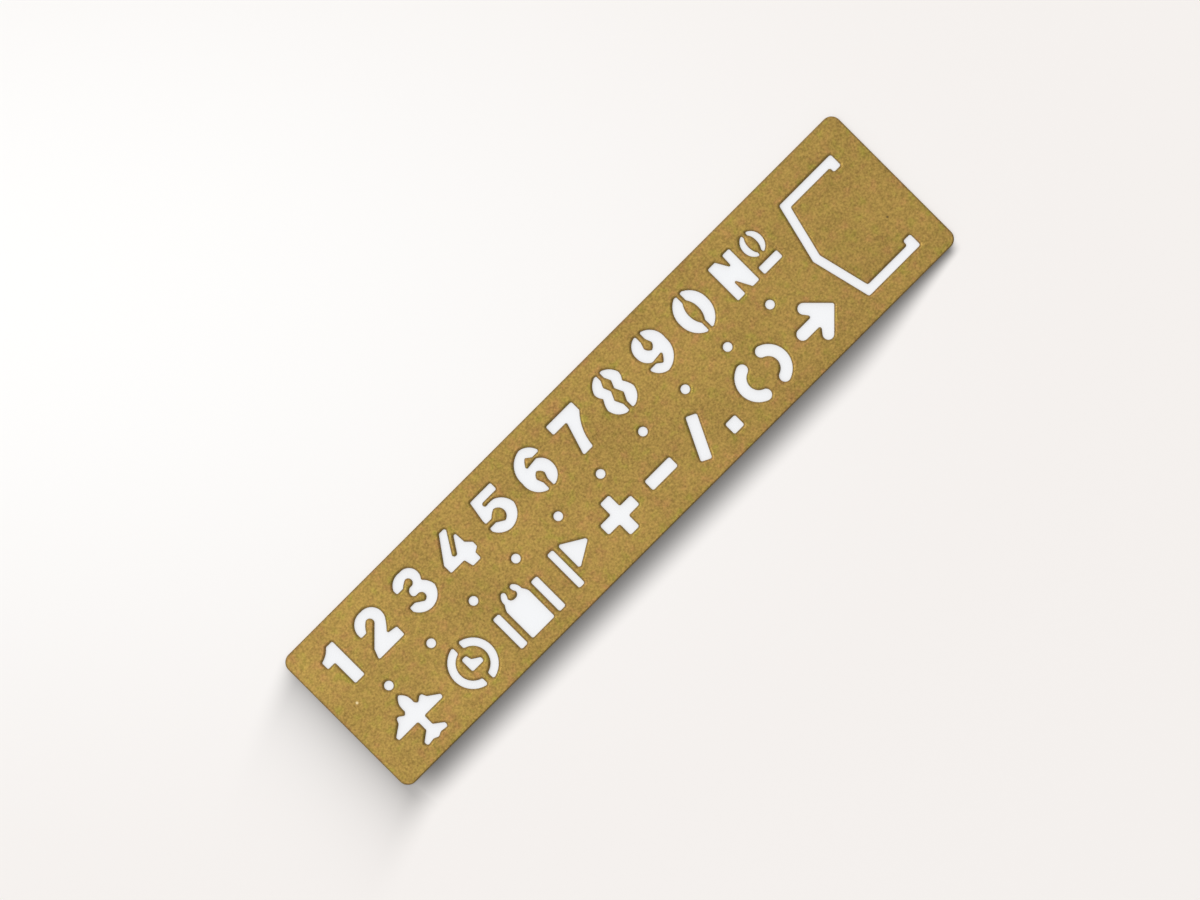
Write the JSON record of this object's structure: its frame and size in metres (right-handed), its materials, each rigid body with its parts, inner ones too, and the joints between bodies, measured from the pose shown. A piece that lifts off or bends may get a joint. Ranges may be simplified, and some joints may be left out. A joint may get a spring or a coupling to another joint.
{
  "type": "lettering stencil",
  "caption": "Flat brass lettering stencil with digits, a numero sign and symbols cut through it, a row of ruler holes and a sprung page-clip tongue.",
  "frame": {"origin": "middle of the sheet's underside", "axes": "+X along the reading direction towards the clip, +Y towards the tops of the digits, +Z out of the face that is read"},
  "size_m": [0.13, 0.03, 0.0005],
  "materials": {
    "brass": "satin"
  },
  "bodies": {
    "plate": {"stencil_plate": "brass"},
    "tongue": {"clip_tongue": "brass"}
  },
  "joints": [
    {"name": "tongue_flex", "type": "hinge", "parent": "plate", "child": "tongue", "pos_m": [0.05903, -0.00055, 0.00025], "axis": [0, 1, 0], "range_deg": [0, 4], "stiffness_Nm_per_rad": 4.5}
  ]
}
